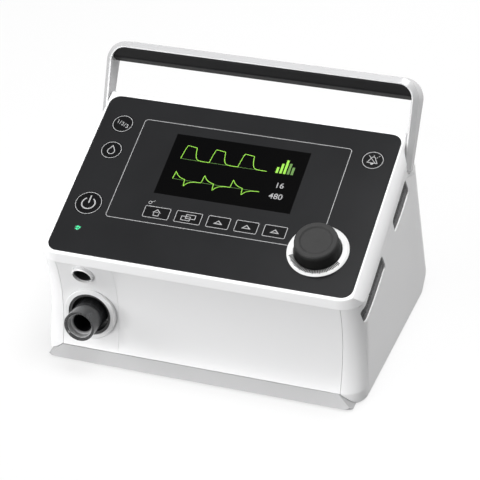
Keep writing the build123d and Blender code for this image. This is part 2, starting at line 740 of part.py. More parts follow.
def handle_stubs():
    """Stub axles of the feet, headed on the inside so that the feet stay in their pockets."""
    head_x = BOSS_X - 4.4
    stub = extrude(Plane.YZ.offset(head_x) * Pos(*PIVOT) * Circle(STUB_R), BAIL_INNER - head_x)
    head = extrude(Plane.YZ.offset(head_x) * Pos(*PIVOT) * Circle(STUB_R + 2.2), 2)
    return both_sides(stub + head)


def handle_washers():
    """Friction washers between the stub heads and the bosses."""
    ring = Circle(STUB_R + 2.8) - Circle(STUB_R + 0.15)
    return both_sides(extrude(Plane.YZ.offset(BOSS_X - 2.2) * Pos(*PIVOT) * ring, 2.0))


# Inside


def blower_mount_xy():
    """Three rubber mounts round the blower."""
    x, y = BLOWER_XY
    return [(x + 27 * cos(a), y + 27 * sin(a)) for a in (0.3, 0.3 + 2 * pi / 3, 0.3 + 4 * pi / 3)]


def blower_housing():
    """Volute with an eye on top and a round nozzle towards the outlet."""
    x, y = BLOWER_XY
    low, top = BLOWER_Z
    mid = (low + top) / 2
    part = Pos(x, y, mid) * Cylinder(BLOWER_R, top - low)
    part = fillet(part.edges(), 5)
    nozzle_back = Plane(origin=(NOZZLE_X, y, mid), x_dir=(1, 0, 0), z_dir=(0, -1, 0))
    part += extrude(nozzle_back * Circle(NOZZLE_R + 2), y - NOZZLE_END_Y)
    part -= Pos(x, y, mid) * Cylinder(BLOWER_R - 2, top - low - 4)
    part -= extrude(nozzle_back.offset(-2) * Circle(NOZZLE_R), y - NOZZLE_END_Y + 4)
    part -= Pos(x, y, top) * Cylinder(13, 10)
    part -= Pos(x, y, low) * Cylinder(9.3, 10)
    return part


def blower_impeller():
    """Wheel with backward-curved blades."""
    x, y = BLOWER_XY
    low, top = BLOWER_Z[0] + 7, BLOWER_Z[1] - 5
    part = Pos(x, y, low + 1) * Cylinder(29, 2)
    part += Pos(x, y, (low + top) / 2) * Cylinder(6, top - low)
    for i in range(9):
        arc = ThreePointArc((9, 0), (18, 4.5), (27.5, 3.0))
        blade = extrude(Plane.XY * trace(arc, 1.4), top - low - 3)
        part += Pos(x, y, low + 1) * Rot(Z=i * 40) * blade
    return part + Pos(x, y, (low + 7) / 2) * Cylinder(2.5, low - 7)


def blower_motor():
    """Drive motor hung under the volute, bored for the wheel's spindle."""
    x, y = BLOWER_XY
    part = Pos(x, y, 9.2) * Cylinder(9.0, 7.4)
    part += Pos(x, y, 12.2) * Cylinder(11.5, 1.5)
    return part - Pos(x, y, 12) * Cylinder(2.5 + RUNNING, 11)


def blower_mounts():
    """Rubber mounts between base and volute."""
    solids = []
    for x, y in blower_mount_xy():
        low, top = 5.62, BLOWER_Z[0] - 0.02
        solids.append(Pos(x, y, (low + top) / 2) * Cylinder(4.5, top - low))
    return solids


def air_hose():
    """Soft hose from the blower nozzle to the cone: two equal arcs make the side step."""
    z = sum(BLOWER_Z) / 2
    bend_y, meet_y, end_y = NOZZLE_END_Y - 0.5, -46.5, -51.7
    run, step = bend_y - meet_y, hypot(HOSE_XZ[0] - NOZZLE_X, HOSE_XZ[1] - z)
    half_turn = atan2(step, run)
    radius = run / 2 / sin(2 * half_turn)
    mid = (radius * sin(half_turn), radius * (1 - cos(half_turn)))
    aside = Vector(HOSE_XZ[0] - NOZZLE_X, 0, HOSE_XZ[1] - z).normalized()
    flat = Plane(origin=(NOZZLE_X, bend_y, z), x_dir=(0, -1, 0), z_dir=Vector(0, -1, 0).cross(aside))
    path = flat * Wire(
        [
            Line((-6, 0), (0, 0)),
            ThreePointArc((0, 0), mid, (run / 2, step / 2)),
            ThreePointArc((run / 2, step / 2), (run - mid[0], step - mid[1]), (run, step)),
            Line((run, step), (run + meet_y - end_y, step)),
        ]
    )
    start = Plane(origin=(NOZZLE_X, bend_y + 6, z), x_dir=(1, 0, 0), z_dir=(0, -1, 0))
    return sweep(start * (Circle(NOZZLE_R + 3.6) - Circle(NOZZLE_R + 2.05)), path)


def inlet_silencer():
    """Foam-lined box between filter and blower eye."""
    fx, fz = FILTER_XZ
    front, back = 11.9, DOOR_Y - 13.0
    middle, length = (front + back) / 2, back - front
    part = Pos(fx, middle, fz) * Box(62, length, 30)
    part = fillet(part.edges().filter_by(Axis.Z).sort_by(Axis.Y)[:2], 6)
    part -= Pos(fx, middle + 2.5, fz) * Box(58, length, 26)
    part += Pos(*BLOWER_XY, 49.5) * Cylinder(14.5, 4.9)
    return part - Pos(*BLOWER_XY, 50) * Cylinder(11.5, 12)


def intake_filter():
    """Pleated filter in the bay behind the door."""
    fx, fz = FILTER_XZ
    w, h = FILTER_SIZE
    return Pos(fx, DOOR_Y, fz) * REAR_TURN * Pos(0, -4.1, 0) * Box(w - 0.6, 4.4, h - 0.6)


def filter_door():
    """Snap-in louvred door over the filter."""
    fx, fz = FILTER_XZ
    w, h = FILTER_SIZE
    place = Pos(fx, DOOR_Y, fz) * REAR_TURN
    part = place * Box(w, 2.6, h)
    part = fillet(part.edges().filter_by(lambda e: e.length < 3), 1.0)
    for i in range(7):
        part -= place * Pos(0, 0, -16 + i * 5.3) * Rot(X=30) * Box(w - 14, 12, 2.2)
    return part


def mains_inlet():
    """Appliance inlet in the back with three pins."""
    place = at_inlet()
    part = place * Pos(0, -9.3, 0) * Box(27.6, 21, 20.2)
    part -= place * Pos(0, -6, 0) * Box(24, 21, 16.4)
    part += place * Pos(0, -15, 0) * Box(24, 2, 16.4)
    for dx, dz in ((0, 3.5), (-7, -2.5), (7, -2.5)):
        part += place * Pos(dx, -8, dz) * Box(2, 13, 4)
    return part


def power_supply():
    """Mains power unit in a perforated case."""
    x, y = SUPPLY_AT
    w, d, h = SUPPLY
    part = Pos(x, y, 4.0 + h / 2) * Box(w, d, h)
    part = fillet(part.edges().filter_by(Axis.Z), 2)
    part -= Pos(x, y, 4.0 + h / 2) * Box(w - 3, d - 3, h - 3)
    for i in range(9):
        part -= Pos(x - 32 + i * 8, y, 4 + h) * Box(3, d - 14, 6)
    return part


def battery_pack():
    """Removable-type battery, standing on the base."""
    x, y = BATTERY_AT
    w, d, h = BATTERY
    part = Pos(x, y, 4.0 + h / 2) * Box(w, d, h)
    part = fillet(part.edges().filter_by(Axis.Z), 6)
    part = chamfer(part.faces().sort_by(Axis.Z)[-1].edges(), 1.2)
    part -= Pos(x, y, 4 + h) * Box(30, 12, 3)
    return part


def alarm_speaker():
    """Loudspeaker behind the right front opening."""
    place = Plane(origin=(104.4, -44, 60), x_dir=(0, 1, 0), z_dir=(1, 0, 0))
    part = extrude(place * Circle(9), 5)
    part += extrude(place.offset(5) * Circle(14), 2.5)
    part -= extrude(place.offset(6.5) * Circle(12), 3)
    part += extrude(place.offset(2) * Circle(3), 4)
    return part


def rubber_feet():
    """Four feet seated in the base."""
    skin = [(0, 0), (6.2, 0), (6.9, 0.9), (7.0, 2.6), (0, 2.6)]
    return [turned(skin, Pos(x, y, 0)) for x, y in FEET_XY]


def housing_screws():
    """Countersunk screws through the base into the side shells' tabs."""
    skin = [(0, 1.6), (3.1, 1.6), (1.5, 2.9), (1.2, 3.2), (1.2, 9.4), (0, 9.4)]
    return [turned(skin, Pos(x, y, 0)) for x, y in SCREW_XY]


def build():
    """All nodes by name."""
    right = side_shell()
    plate, port = front_pieces()
    nodes = {
        "base_tray": base_tray(),
        "side_shell_right": right,
        "side_shell_left": mirror(right, Plane.YZ),
        "front_plate": plate,
        "port_plate": port,
        "panel_frame": panel_frame(),
        "rear_cover": rear_cover(),
        "panel_glass": glass(),
        "key_carrier": key_carrier(),
        "display_module": display_module(),
        "main_board": main_board(),
        "mains_light": mains_light(),
        "dial_knob": dial_knob(),
        "dial_ring": dial_ring(),
        "dial_shaft": dial_shaft(),
        "dial_sleeve": dial_sleeve(),
        "encoder_body": encoder_body(),
        "outlet_collar": outlet_collar(),
        "outlet_cup": outlet_cup(),
        "outlet_cone": outlet_cone(),
        "outlet_liner": outlet_liner(),
        "sensor_port": sensor_port(),
        "sensor_core": sensor_core(),
        "handle_bail": handle_bail(),
        "handle_grip": handle_grip(),
        "handle_stubs": handle_stubs(),
        "handle_washers": handle_washers(),
        "blower_housing": blower_housing(),
        "blower_impeller": blower_impeller(),
        "blower_motor": blower_motor(),
        "blower_mounts": blower_mounts(),
        "air_hose": air_hose(),
        "inlet_silencer": inlet_silencer(),
        "intake_filter": intake_filter(),
        "filter_door": filter_door(),
        "mains_inlet": mains_inlet(),
        "power_supply": power_supply(),
        "battery_pack": battery_pack(),
        "alarm_speaker": alarm_speaker(),
        "rubber_feet": rubber_feet(),
        "housing_screws": housing_screws(),
    }
    for name in KEYS:
        nodes[name] = key_cap(name)
    for place, span in VENTS.items():
        grille = vent_grille(span)
        nodes[f"vent_{place}_right"] = grille
        nodes[f"vent_{place}_left"] = mirror(grille, Plane.YZ)
    return nodes


if __name__ == "__main__":
    os.makedirs("parts", exist_ok=True)
    for node, shape in build().items():
        solids = shape if isinstance(shape, list) else [shape]
        export_step(Compound(children=[s for part in solids for s in part.solids()]), f"parts/{node}.step")
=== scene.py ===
"""Looks of the home ventilator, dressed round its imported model.

Metres, +Z up, the panel's low edge at the front (-Y). Prints on the panel are drawn flat in the
panel's own millimetres, with X across and Y up the slope, and are then laid on the glass.
"""

import json
from math import atan2, cos, exp, pi, radians, sin

import bpy
from mathutils import Matrix, Vector

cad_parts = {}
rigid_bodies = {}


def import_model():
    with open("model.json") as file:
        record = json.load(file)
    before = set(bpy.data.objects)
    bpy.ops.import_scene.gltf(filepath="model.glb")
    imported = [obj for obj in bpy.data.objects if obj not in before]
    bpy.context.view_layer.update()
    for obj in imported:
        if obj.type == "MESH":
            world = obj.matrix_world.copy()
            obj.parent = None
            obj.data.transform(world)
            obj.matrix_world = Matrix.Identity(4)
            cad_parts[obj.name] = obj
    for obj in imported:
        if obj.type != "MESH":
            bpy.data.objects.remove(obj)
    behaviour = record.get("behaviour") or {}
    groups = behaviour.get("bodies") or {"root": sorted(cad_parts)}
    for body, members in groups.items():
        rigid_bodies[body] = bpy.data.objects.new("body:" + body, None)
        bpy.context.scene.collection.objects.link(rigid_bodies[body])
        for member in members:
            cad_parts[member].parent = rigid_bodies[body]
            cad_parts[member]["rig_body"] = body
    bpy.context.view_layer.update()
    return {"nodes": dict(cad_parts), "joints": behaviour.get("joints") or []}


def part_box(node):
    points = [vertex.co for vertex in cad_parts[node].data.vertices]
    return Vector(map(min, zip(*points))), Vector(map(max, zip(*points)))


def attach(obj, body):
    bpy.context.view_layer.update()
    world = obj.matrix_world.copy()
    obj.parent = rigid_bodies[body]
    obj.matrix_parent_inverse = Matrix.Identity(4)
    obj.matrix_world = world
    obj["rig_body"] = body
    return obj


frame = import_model()
NODES = frame["nodes"]
ROUND_KEYS = ["key_menu", "key_humidifier", "key_power", "key_alarm_mute"]
SOFT_KEYS = [f"soft_key_{number}" for number in range(1, 6)]

MM = 0.001
MICRON = 0.000001

# Camera, as the photograph was taken
CAMERA_AZIMUTH = 20.29
CAMERA_ELEVATION = 32.79
CAMERA_ROLL = -2.09
CAMERA_LENS = 143.4
CAMERA_SENSOR = 36
CAMERA_LOOKS_AT = (0.00968, -0.01085, 0.07531)
CAMERA_DISTANCE = 1.3206

# Prints on the panel, in its millimetres: U across from the middle, V up the slope
PRINT_THICK = 0.03
PRINT_LIFT = 0.01  # of a print over the glass
FACE_DEPTH = 0.2  # what lies no deeper than this belongs to a key's face
LINE = 0.45
SIGN_LINE = 0.5
FINE_LINE = 0.4
KEY_LINE_INSET = 0.5
SOFT_KEY_HALF_V = 4.9
SOFT_KEY_CORNER = 1.1
FRAME_HALF_U = 76.0
FRAME_LOW_V = 34.2
FRAME_HIGH_V = 121.6
FRAME_CORNER = 2.4
FRAME_TO_DIAL = 21.4  # the frame line stops this far from the dial's middle
LOCK_AT = (-47.7, 51.6)

# Display, in the same millimetres
SCREEN_HALF_U = 49.1
SCREEN_LOW_V = 59.6
SCREEN_HIGH_V = 112.9
SCREEN_THICK = 0.02
SCREEN_PRINT_LIFT = 0.03
AXIS_LIFT = 0.025  # just under the curves
AXIS_LINE = 0.25
CURVE_LINE = 0.5
CURVES_LEFT = -40.0
CURVES_LENGTH = 63.0
CURVE_STEPS = 260
BREATHS = 3
PRESSURE_V = 92.0
PRESSURE_HEIGHT = 12.0
FLOW_V = 74.0
FLOW_HEIGHT = 8.0
BARS_LEFT = 30.0
BAR_STEP = 2.7
BAR_WIDTH = 1.7
BAR_HEIGHTS = (5.0, 8.5, 12.0, 9.5, 6.5)
BRIGHT_BARS = 3
READING_U = 35.4
READING_SIZE = 6.5
READINGS = {"rate": ("16", 81.5), "volume": ("480", 72.0)}

# One breath, in parts of its whole time
RISEN = 0.1  # the pressure has risen
BREATH_IN = 0.42  # breathing in ends
VALVE_TIME = 0.03  # that a valve takes to open
PLATEAU_LOSS = 0.08  # share of the pressure lost while it is held
FLOW_BACK = 0.8  # strongest flow out, as a share of the strongest flow in

# Scale on the dial's ring, in millimetres and degrees round the dial
SCALE_LIFT = 1.4  # of the ring's top over the glass
TICKS = 38
TICK_START = -155
TICK_STEP = 3.5
TICK_INNER = 16.4
TICK_OUTER = 19.2
LONG_TICK_OUTER = 19.6
LONG_TICK_EVERY = 4
TICK_WIDTH = 0.82

OUTLET_AXIS = Vector((0, -0.9936, 0.1132))  # the breathing cone points this way


# Places on the panel


def panel_matrix():
    """Panel millimetres to the frame's metres; the origin is on the glass, at its front edge."""
    dial_press = next(joint for joint in frame["joints"] if joint["name"] == "dial_press")
    normal = -Vector(dial_press["axis"]).normalized()
    up_slope = Vector((0, normal.z, -normal.y))
    points = [vertex.co for vertex in NODES["panel_glass"].data.vertices]
    top = max(point.dot(normal) for point in points)
    front = min(point.dot(up_slope) for point in points)
    origin = normal * top + up_slope * front
    turn = Matrix(((1, 0, 0), up_slope, normal)).transposed().to_4x4()
    return Matrix.Translation(origin) @ turn @ Matrix.Scale(MM, 4)


PANEL = panel_matrix()
TO_PANEL = PANEL.inverted()
PANEL_NORMAL = PANEL.to_3x3().col[2].normalized()


def panel_uv(node):
    """Middle of a node on the panel."""
    low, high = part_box(node)
    middle = TO_PANEL @ ((low + high) / 2)
    return middle.x, middle.y


def key_face(node):
    """Middle of a key's face on the panel, and half the face's width."""
    points = [TO_PANEL @ vertex.co for vertex in NODES[node].data.vertices]
    face = [point for point in points if point.z > -FACE_DEPTH]
    across = [point.x for point in face]
    up = [point.y for point in face]
    return (min(across) + max(across)) / 2, (min(up) + max(up)) / 2, (max(across) - min(across)) / 2


# Parts of a material


def blank(name):
    """New node material, its tree and its shader."""
    material = bpy.data.materials.new(name)
    material.use_nodes = True
    tree = material.node_tree
    return material, tree, tree.nodes["Principled BSDF"]


def wire(tree, output, target):
    """Links two sockets."""
    tree.links.new(output, target)


def surface(tree, shader, colour, roughness):
    """Links colour and roughness to the shader."""
    wire(tree, colour, shader.inputs["Base Color"])
    wire(tree, roughness, shader.inputs["Roughness"])


def object_coords(tree, stretch=(1, 1, 1)):
    """Object coordinates through a mapping, in metres."""
    coords = tree.nodes.new("ShaderNodeTexCoord")
    mapping = tree.nodes.new("ShaderNodeMapping")
    mapping.inputs["Scale"].default_value = stretch
    wire(tree, coords.outputs["Object"], mapping.inputs["Vector"])
    return mapping.outputs["Vector"]


def pattern(tree, coords, kind, scale):
    """Texture node of a kind, at a scale per metre."""
    node = tree.nodes.new(f"ShaderNodeTex{kind}")
    node.inputs["Scale"].default_value = scale
    wire(tree, coords, node.inputs["Vector"])
    return node


def noise(tree, coords, scale, detail, rough=0.5):
    """Cloudy value, at a scale per metre."""
    node = pattern(tree, coords, "Noise", scale)
    node.inputs["Detail"].default_value = detail
    node.inputs["Roughness"].default_value = rough
    return node.outputs["Fac"]


def ramp(tree, value, dark, light, low=0.3, high=0.7):
    """Two colours mixed by a value, the first below low and the second above high."""
    node = tree.nodes.new("ShaderNodeValToRGB")
    node.color_ramp.elements[0].position = low
    node.color_ramp.elements[0].color = (*dark, 1)
    node.color_ramp.elements[1].position = high
    node.color_ramp.elements[1].color = (*light, 1)
    wire(tree, value, node.inputs["Fac"])
    return node.outputs["Color"]


def span(tree, value, low, high):
    """Value of 0 to 1 mapped to low to high."""
    node = tree.nodes.new("ShaderNodeMapRange")
    node.inputs["To Min"].default_value = low
    node.inputs["To Max"].default_value = high
    wire(tree, value, node.inputs["Value"])
    return node.outputs["Result"]


def bump(tree, shader, value, microns, strength=1.0):
    """Fine relief of a depth."""
    node = tree.nodes.new("ShaderNodeBump")
    node.inputs["Strength"].default_value = strength
    node.inputs["Distance"].default_value = microns * MICRON
    wire(tree, value, node.inputs["Height"])
    wire(tree, node.outputs["Normal"], shader.inputs["Normal"])


def height_fade(tree, coords, node, axis, low, high):
    """0 below low and 1 above high, in millimetres from a node's outer end along an axis."""
    end = max(vertex.co.dot(axis) for vertex in NODES[node].data.vertices)
    height = tree.nodes.new("ShaderNodeVectorMath")
    height.operation = "DOT_PRODUCT"
    height.inputs[1].default_value = axis
    wire(tree, coords, height.inputs[0])
    fade = tree.nodes.new("ShaderNodeMapRange")
    fade.inputs["From Min"].default_value = end + low * MM
    fade.inputs["From Max"].default_value = end + high * MM
    wire(tree, height.outputs["Value"], fade.inputs["Value"])
    return fade.outputs["Result"]


def toned(colour, factor):
    """Colour made darker or lighter."""
    return tuple(min(1.0, part * factor) for part in colour)


# Materials


def moulded(name, colour, rough, spread, grain, relief, coat=0.0, metal=0.0, shine=0.5):
    """Moulded plastic: slow tint changes, eroded grain and a gloss that varies a little.

    spread is the share by which the tint changes, grain a scale per metre and relief its microns.
    """
    material, tree, shader = blank(name)
    coords = object_coords(tree)
    clouds = noise(tree, coords, 14, detail=3)
    gloss = noise(tree, coords, 45, detail=4)
    tint = ramp(tree, clouds, toned(colour, 1 - spread), toned(colour, 1 + spread))
    surface(tree, shader, tint, span(tree, gloss, rough * 0.85, rough * 1.15))
    bump(tree, shader, noise(tree, coords, grain, detail=1), relief)
    shader.inputs["Coat Weight"].default_value = coat
    shader.inputs["Coat Roughness"].default_value = 0.08
    shader.inputs["Metallic"].default_value = metal
    shader.inputs["Specular IOR Level"].default_value = shine
    return material


def brushed_metal(name, colour, rough):
    """Turned or rolled metal with fine streaks."""
    material, tree, shader = blank(name)
    streaks = noise(tree, object_coords(tree, (60, 60, 2400)), 1.0, detail=3)
    tint = ramp(tree, streaks, toned(colour, 0.85), colour)
    surface(tree, shader, tint, span(tree, streaks, rough * 0.8, rough * 1.3))
    bump(tree, shader, streaks, 4)
    shader.inputs["Metallic"].default_value = 1.0
    return material


def soft_rubber(name, colour, rough, pebbles, sheen=0.08):
    """Soft-touch rubber with a fine pebbled skin; pebbles is their scale per metre."""
    material, tree, shader = blank(name)
    coords = object_coords(tree)
    tint = ramp(tree, noise(tree, coords, 60, detail=4), toned(colour, 0.7), colour)
    gloss = noise(tree, coords, 300, detail=2)
    surface(tree, shader, tint, span(tree, gloss, rough * 0.85, rough * 1.1))
    skin = pattern(tree, coords, "Voronoi", pebbles)
    bump(tree, shader, skin.outputs["Distance"], 40, strength=0.5)
    shader.inputs["Sheen Weight"].default_value = sheen
    shader.inputs["Specular IOR Level"].default_value = 0.14
    return material


def cover_glass():
    """Dark printed glass: faint mottling under a clean surface with barely seen smears."""
    material, tree, shader = blank("dark_cover_glass")
    coords = object_coords(tree)
    mottling = noise(tree, coords, 22, detail=4)
    under = ramp(tree, mottling, (0.0060, 0.0062, 0.0070), (0.0085, 0.0088, 0.0098))
    smears = noise(tree, object_coords(tree, (30, 12, 12)), 1.0, detail=5, rough=0.6)
    surface(tree, shader, under, span(tree, smears, 0.13, 0.2))
    bump(tree, shader, noise(tree, coords, 60, detail=1), 2, strength=0.3)
    shader.inputs["IOR"].default_value = 1.52
    shader.inputs["Specular IOR Level"].default_value = 0.15
    return material


def knob_rubber():
    """Soft black knob: greyer on its top and blacker down its side, which is painted light and shade."""
    material, tree, shader = blank("soft_black_knob")
    coords = object_coords(tree)
    # painted light and shade: the top is coloured greyer as if lit, the side blacker as if in shade
    top = height_fade(tree, coords, "dial_knob", PANEL_NORMAL, -4.0, -0.8)
    tint = ramp(tree, top, (0.0015, 0.0015, 0.0015), (0.026, 0.026, 0.026), low=0.0, high=1.0)
    surface(tree, shader, tint, span(tree, noise(tree, coords, 300, detail=2), 0.5, 0.62))
    bump(tree, shader, noise(tree, coords, 1500, detail=1), 30)
    shader.inputs["Specular IOR Level"].default_value = 0.16
    return material


def outlet_sleeve():
    """Sleeve in the breathing cone: pale at its mouth; from its shoulder inwards painted dark, as shade
    deep in the bore.
    """
    material, tree, shader = blank("pale_outlet_sleeve")
    coords = object_coords(tree)
    mouth = height_fade(tree, coords, "outlet_liner", OUTLET_AXIS, -4.9, -4.0)
    # painted shade: the sleeve goes dark deeper in, where the bore lies in shade
    tint = ramp(tree, mouth, (0.008, 0.008, 0.009), (0.46, 0.46, 0.465), low=0.0, high=1.0)
    surface(tree, shader, tint, span(tree, noise(tree, coords, 200, detail=3), 0.25, 0.35))
    bump(tree, shader, noise(tree, coords, 1500, detail=1), 10)
    return material


def key_black():
    """Key faces: a touch blacker and duller than the glass round them."""
    material, tree, shader = blank("key_face_black")
    coords = object_coords(tree)
    tint = ramp(tree, noise(tree, coords, 90, detail=3), (0.002, 0.002, 0.0023), (0.004, 0.004, 0.0045))
    surface(tree, shader, tint, span(tree, noise(tree, coords, 500, detail=3), 0.26, 0.36))
    bump(tree, shader, noise(tree, coords, 1800, detail=1), 6)
    shader.inputs["Specular IOR Level"].default_value = 0.06
    return material


def screen_black():
    """Display behind the glass: black with its fine pixel rows."""
    material, tree, shader = blank("display_black")
    coords = object_coords(tree)
    rows = pattern(tree, coords, "Wave", 1400).outputs["Fac"]
    tint = ramp(tree, rows, (0.0006, 0.0006, 0.0007), (0.0014, 0.0014, 0.0015))
    surface(tree, shader, tint, span(tree, noise(tree, coords, 50, detail=2), 0.3, 0.4))
    shader.inputs["Specular IOR Level"].default_value = 0.015
    return material


def smoked_cone():
    """Smoky polycarbonate of the breathing cone, a little see-through, streaked along its length."""
    material, tree, shader = blank("smoky_polycarbonate")
    streaks = noise(tree, object_coords(tree, (500, 30, 500)), 1.0, detail=3)
    tint = ramp(tree, streaks, (0.014, 0.014, 0.015), (0.04, 0.041, 0.043))
    surface(tree, shader, tint, span(tree, streaks, 0.1, 0.2))
    bump(tree, shader, noise(tree, object_coords(tree), 300, detail=2), 15, strength=0.5)
    shader.inputs["Transmission Weight"].default_value = 0.08
    shader.inputs["IOR"].default_value = 1.58
    return material


def printed(name, colour, glow=0.0):
    """Screen-printed ink, laid a little unevenly."""
    material, tree, shader = blank(name)
    coords = object_coords(tree)
    tint = ramp(tree, noise(tree, coords, 700, detail=3), toned(colour, 0.86), colour)
    surface(tree, shader, tint, span(tree, noise(tree, coords, 300, detail=2), 0.4, 0.5))
    if glow:
        wire(tree, tint, shader.inputs["Emission Color"])
        shader.inputs["Emission Strength"].default_value = glow
    return material


def louvre_grille():
    """Dark grille of the side openings, with a fine woven look."""
    material, tree, shader = blank("grille_dark")
    coords = object_coords(tree, (1, 1.6, 1))
    cells = pattern(tree, coords, "Voronoi", 700).outputs["Distance"]
    tint = ramp(tree, cells, (0.012, 0.012, 0.013), (0.05, 0.05, 0.052))
    surface(tree, shader, tint, span(tree, noise(tree, coords, 80, detail=3), 0.45, 0.6))
    bump(tree, shader, cells, 150, strength=0.6)
    return material


def pleated_filter():
    """Filter fleece: pleats as waves, fibres as noise."""
    material, tree, shader = blank("filter_fleece")
    coords = object_coords(tree)
    tint = ramp(tree, noise(tree, coords, 900, detail=5), (0.55, 0.57, 0.6), (0.8, 0.81, 0.82))
    surface(tree, shader, tint, span(tree, noise(tree, coords, 400, detail=3), 0.85, 0.95))
    bump(tree, shader, pattern(tree, coords, "Wave", 80).outputs["Fac"], 1000)
    return material


def board_green():
    """Solder mask with traces."""
    material, tree, shader = blank("board_green")
    coords = object_coords(tree)
    traces = pattern(tree, coords, "Brick", 180)
    traces.inputs["Color1"].default_value = (0.01, 0.09, 0.03, 1)
    traces.inputs["Color2"].default_value = (0.012, 0.11, 0.04, 1)
    traces.inputs["Mortar"].default_value = (0.03, 0.18, 0.08, 1)
    gloss = span(tree, noise(tree, coords, 200, detail=2), 0.3, 0.45)
    surface(tree, shader, traces.outputs["Color"], gloss)
    bump(tree, shader, traces.outputs["Fac"], 30)
    return material


WHITE = (0.80, 0.80, 0.805)
PLATE_WHITE = (0.72, 0.72, 0.725)
# the lip's own grey-white, darkened further by painted shade
LIP_GREY_AND_SHADE = (0.42, 0.42, 0.425)
SILVER = (0.46, 0.46, 0.465)
RING_WHITE = (0.7, 0.7, 0.7)
RECESS_BLACK = (0.012, 0.012, 0.013)
INNER_BLACK = (0.02, 0.02, 0.021)
INNER_GREY = (0.3, 0.31, 0.32)
WRAP_GREY = (0.07, 0.075, 0.085)
LENS_BLACK = (0.006, 0.012, 0.010)
NYLON = (0.6, 0.58, 0.52)
FINISHES = {
    "white_shell": moulded(
        "white_satin_shell", WHITE, rough=0.34, spread=0.008, grain=2400, relief=12, coat=0.05, shine=0.15
    ),
    "white_plate": moulded(
        "white_front_plate", PLATE_WHITE, rough=0.3, spread=0.006, grain=3000, relief=6, coat=0.35
    ),
    # lip: its grey-white colour also carries painted shade
    "lip": moulded(
        "grey_white_lip_and_painted_shade", LIP_GREY_AND_SHADE, rough=0.36, spread=0.01, grain=2400, relief=12, coat=0.1, shine=0.4
    ),
    "lacquer": moulded(
        "silver_lacquer", SILVER, rough=0.26, spread=0.008, grain=3000, relief=5, metal=0.25, shine=0.15
    ),
    "white_ring": moulded(
        "white_light_ring", RING_WHITE, rough=0.3, spread=0.006, grain=2500, relief=6, coat=0.3
    ),
    "glass": cover_glass(),
    "key": key_black(),
    "screen": screen_black(),
    "knob": knob_rubber(),
    "cup": moulded("black_recess", RECESS_BLACK, rough=0.35, spread=0.2, grain=1500, relief=20),
    "cone": smoked_cone(),
    "liner": outlet_sleeve(),
    "grip": soft_rubber("soft_black_grip", (0.006, 0.006, 0.0065), rough=0.6, pebbles=900, sheen=0.01),
    "rubber": soft_rubber("foot_rubber", (0.03, 0.03, 0.03), rough=0.8, pebbles=700),
    "hose": soft_rubber("hose_silicone", (0.03, 0.03, 0.033), rough=0.5, pebbles=500),
    "grille": louvre_grille(),
    "inner_black": moulded(
        "inner_black_plastic", INNER_BLACK, rough=0.5, spread=0.15, grain=1500, relief=30
    ),
    "inner_grey": moulded(
        "inner_grey_plastic", INNER_GREY, rough=0.45, spread=0.05, grain=1500, relief=30
    ),
    "battery": moulded("battery_wrap", WRAP_GREY, rough=0.4, spread=0.1, grain=800, relief=30),
    "steel": brushed_metal("turned_steel", (0.62, 0.62, 0.63), rough=0.25),
    "supply_case": brushed_metal("folded_aluminium", (0.7, 0.71, 0.72), rough=0.38),
    "filter": pleated_filter(),
    "board": board_green(),
    "lens": moulded("dark_lens", LENS_BLACK, rough=0.2, spread=0.1, grain=900, relief=4, coat=0.5),
    "nylon": moulded("washer_nylon", NYLON, rough=0.5, spread=0.05, grain=1200, relief=20),
    "light": printed("mains_light_green", (0.02, 0.62, 0.25), glow=0.8),
    "ink": printed("pale_grey_ink", (0.34, 0.34, 0.345)),
    "ink_dark": printed("dark_scale_ink", (0.012, 0.012, 0.012)),
    "trace": printed("display_green", (0.17, 0.42, 0.02), glow=0.5),
    "trace_dim": printed("display_green_dim", (0.05, 0.14, 0.01), glow=0.35),
}
NODE_FINISH = {
    "white_shell": ["side_shell_right", "side_shell_left", "panel_frame", "rear_cover", "filter_door"],
    "white_plate": ["front_plate", "port_plate", "outlet_collar", "sensor_port"],
    "lip": ["base_tray"],
    "lacquer": ["handle_bail"],
    "white_ring": ["dial_ring"],
    "glass": ["panel_glass"],
    "key": ROUND_KEYS + SOFT_KEYS,
    "screen": ["display_module"],
    "knob": ["dial_knob"],
    "cup": ["outlet_cup", "sensor_core"],
    "cone": ["outlet_cone"],
    "liner": ["outlet_liner"],
    "grip": ["handle_grip"],
    "rubber": ["rubber_feet", "blower_mounts"],
    "hose": ["air_hose"],
    "grille": ["vent_front_right", "vent_front_left", "vent_rear_right", "vent_rear_left"],
    "inner_black": [
        "key_carrier",
        "dial_sleeve",
        "encoder_body",
        "blower_impeller",
        "mains_inlet",
        "alarm_speaker",
    ],
    "inner_grey": ["blower_housing", "inlet_silencer"],
    "battery": ["battery_pack"],
    "steel": ["dial_shaft", "blower_motor", "handle_stubs", "housing_screws"],
    "supply_case": ["power_supply"],
    "filter": ["intake_filter"],
    "board": ["main_board"],
    "lens": ["mains_light"],
    "nylon": ["handle_washers"],
}


def give_finish(piece, finish):
    """Gives an object one finish in place of any other."""
    piece.data.materials.clear()
    piece.data.materials.append(FINISHES[finish])


def dress_nodes():
    """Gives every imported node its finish."""
    for finish, nodes in NODE_FINISH.items():
        for node in nodes:
            give_finish(NODES[node], finish)


# Flat prints


def deselect():
    """Nothing selected before a new piece is started."""
    bpy.ops.object.select_all(action="DESELECT")


def unit_square():
    """New flat square of side 1, selected alone."""
    deselect()
    bpy.ops.mesh.primitive_plane_add(size=1)
    return bpy.context.object


def arc(radius, start, sweep, steps, centre=(0, 0)):
    """Points of an arc, angles in degrees."""
    angles = [radians(start + sweep * i / steps) for i in range(steps + 1)]
    return [(centre[0] + radius * cos(angle), centre[1] + radius * sin(angle)) for angle in angles]


def rounded(half_u, half_v, radius, steps=6):
    """Points of a rectangle with round corners, centred."""
    points = []
    for quarter, (side_u, side_v) in enumerate(((1, 1), (-1, 1), (-1, -1), (1, -1))):
        corner = (side_u * (half_u - radius), side_v * (half_v - radius))
        points += arc(radius, 90 * quarter, 90, steps, corner)
    return points


def shifted(points, u, v):
    """Points moved aside."""
    return [(x + u, y + v) for x, y in points]


